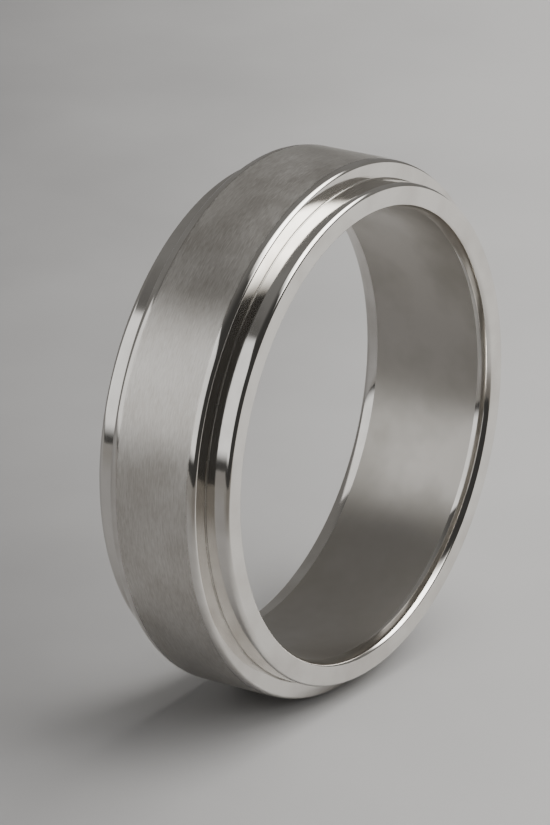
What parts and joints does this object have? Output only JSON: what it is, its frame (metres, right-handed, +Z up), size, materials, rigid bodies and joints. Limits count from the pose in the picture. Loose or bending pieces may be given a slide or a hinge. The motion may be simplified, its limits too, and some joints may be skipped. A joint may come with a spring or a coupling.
{
  "type": "wedding band",
  "caption": "Round wedding band: a raised satin hoop on a polished comfort-fit sleeve, with a fine solder fillet in each corner.",
  "frame": {"origin": "centre of the ring, on its axis and midway between its end faces", "axes": "+Y along the ring's axis towards its rear end face, +Z up with the ring standing on its rim, +X to the right seen from the front"},
  "size_m": [0.0216, 0.006, 0.0216],
  "materials": {
    "polished_white_metal": "mirror-polished white metal, slightly warm, with light handling haze",
    "satin_white_metal": "satin white metal with fine, short abrasive strokes that mostly run round the ring",
    "solder_white_metal": "white gold solder, melted and pickled, a little duller than the polished shoulder beside it"
  },
  "bodies": {
    "root": {"comfort_sleeve": "polished_white_metal", "satin_hoop": "satin_white_metal", "front_solder_fillet": "solder_white_metal", "rear_solder_fillet": "solder_white_metal"}
  },
  "joints": []
}
